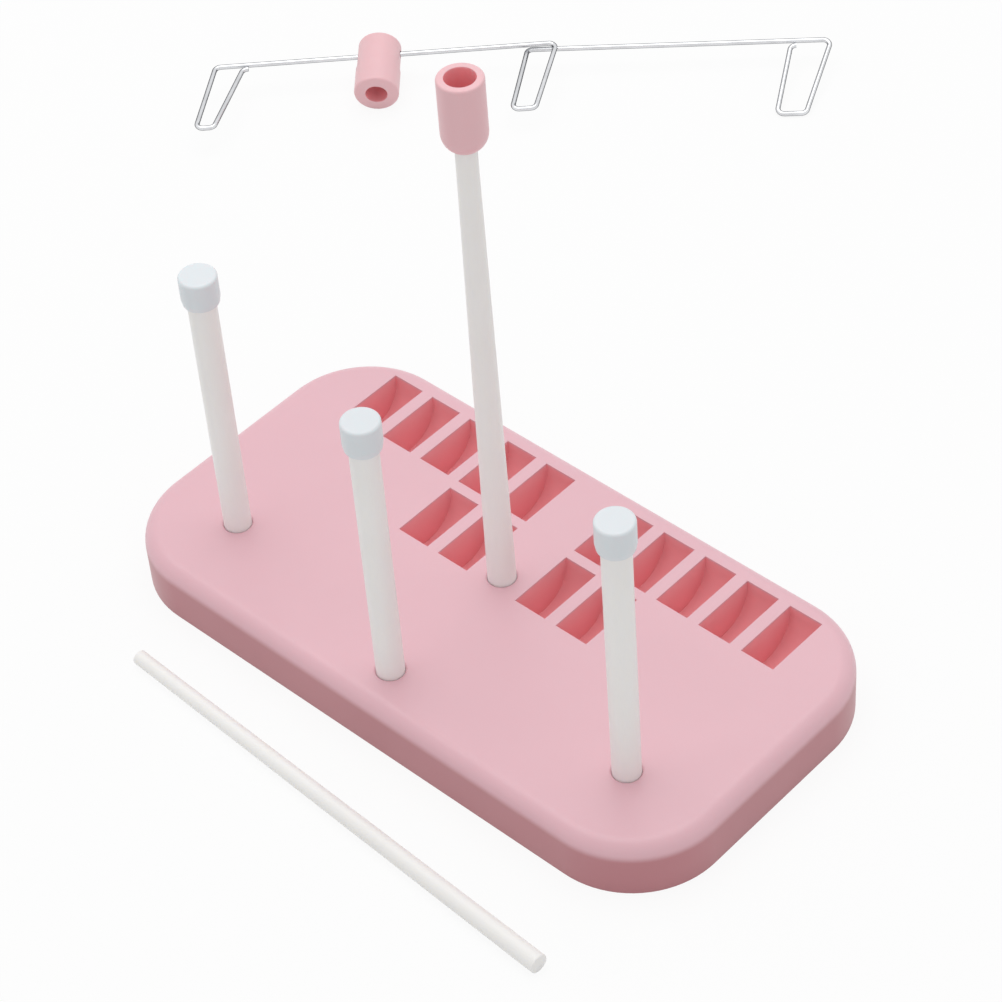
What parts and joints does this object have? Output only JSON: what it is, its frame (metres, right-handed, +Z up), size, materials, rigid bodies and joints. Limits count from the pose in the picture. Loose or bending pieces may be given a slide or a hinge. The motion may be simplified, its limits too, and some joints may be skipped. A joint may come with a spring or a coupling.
{
  "type": "thread rack",
  "caption": "Tabletop thread rack: a rounded base with bobbin pockets, capped spool pins and a two-part mast with a looped wire thread guide, shown taken apart.",
  "frame": {"origin": "middle of the base on the table, at the foot of the mast's boss", "axes": "+Z up along the mast and pins, +X along the base's long side to the right, +Y to the back, where the bobbin pockets are"},
  "size_m": [0.404, 0.4128, 0.2257],
  "materials": {
    "pink_plastic": "smooth moulded plastic with a soft gloss",
    "milky_plastic": "milky, slightly translucent moulded plastic",
    "white_plastic": "cool white moulded plastic",
    "steel_wire": "bright drawn steel wire"
  },
  "bodies": {
    "base": {"base": "pink_plastic"},
    "spool_pin_left": {"spool_pin_left": "milky_plastic"},
    "spool_pin_middle": {"spool_pin_middle": "milky_plastic"},
    "spool_pin_right": {"spool_pin_right": "milky_plastic"},
    "pin_cap_left": {"pin_cap_left": "white_plastic"},
    "pin_cap_middle": {"pin_cap_middle": "white_plastic"},
    "pin_cap_right": {"pin_cap_right": "white_plastic"},
    "lower_mast": {"lower_mast": "milky_plastic"},
    "mast_coupler": {"mast_coupler": "pink_plastic"},
    "upper_mast": {"upper_mast": "milky_plastic"},
    "guide_wire": {"guide_wire": "steel_wire"},
    "guide_sleeve": {"guide_sleeve": "pink_plastic"}
  },
  "joints": [
    {"name": "pin_left_lift", "type": "slide", "parent": "base", "child": "spool_pin_left", "axis": [0, 0, 1], "range_m": [0, 0.05]},
    {"name": "cap_left_pull", "type": "slide", "parent": "spool_pin_left", "child": "pin_cap_left", "axis": [0, 0, 1], "range_m": [0, 0.03]},
    {"name": "pin_middle_lift", "type": "slide", "parent": "base", "child": "spool_pin_middle", "axis": [0, 0, 1], "range_m": [0, 0.05]},
    {"name": "cap_middle_pull", "type": "slide", "parent": "spool_pin_middle", "child": "pin_cap_middle", "axis": [0, 0, 1], "range_m": [0, 0.03]},
    {"name": "pin_right_lift", "type": "slide", "parent": "base", "child": "spool_pin_right", "axis": [0, 0, 1], "range_m": [0, 0.05]},
    {"name": "cap_right_pull", "type": "slide", "parent": "spool_pin_right", "child": "pin_cap_right", "axis": [0, 0, 1], "range_m": [0, 0.03]},
    {"name": "mast_lift", "type": "slide", "parent": "base", "child": "lower_mast", "axis": [0, 0, 1], "range_m": [0, 0.05]},
    {"name": "coupler_pull", "type": "slide", "parent": "lower_mast", "child": "mast_coupler", "axis": [0, 0, 1], "range_m": [0, 0.03]},
    {"name": "upper_mast_pick_up", "type": "slide", "parent": "base", "child": "upper_mast", "axis": [0, 0, 1], "range_m": [0, 0.1]},
    {"name": "guide_pick_up", "type": "slide", "parent": "base", "child": "guide_wire", "axis": [0, 0, 1], "range_m": [0, 0.1]},
    {"name": "sleeve_slide", "type": "slide", "parent": "guide_wire", "child": "guide_sleeve", "axis": [0.712, 0.7022, 0], "range_m": [-0.041, 0.043]}
  ]
}
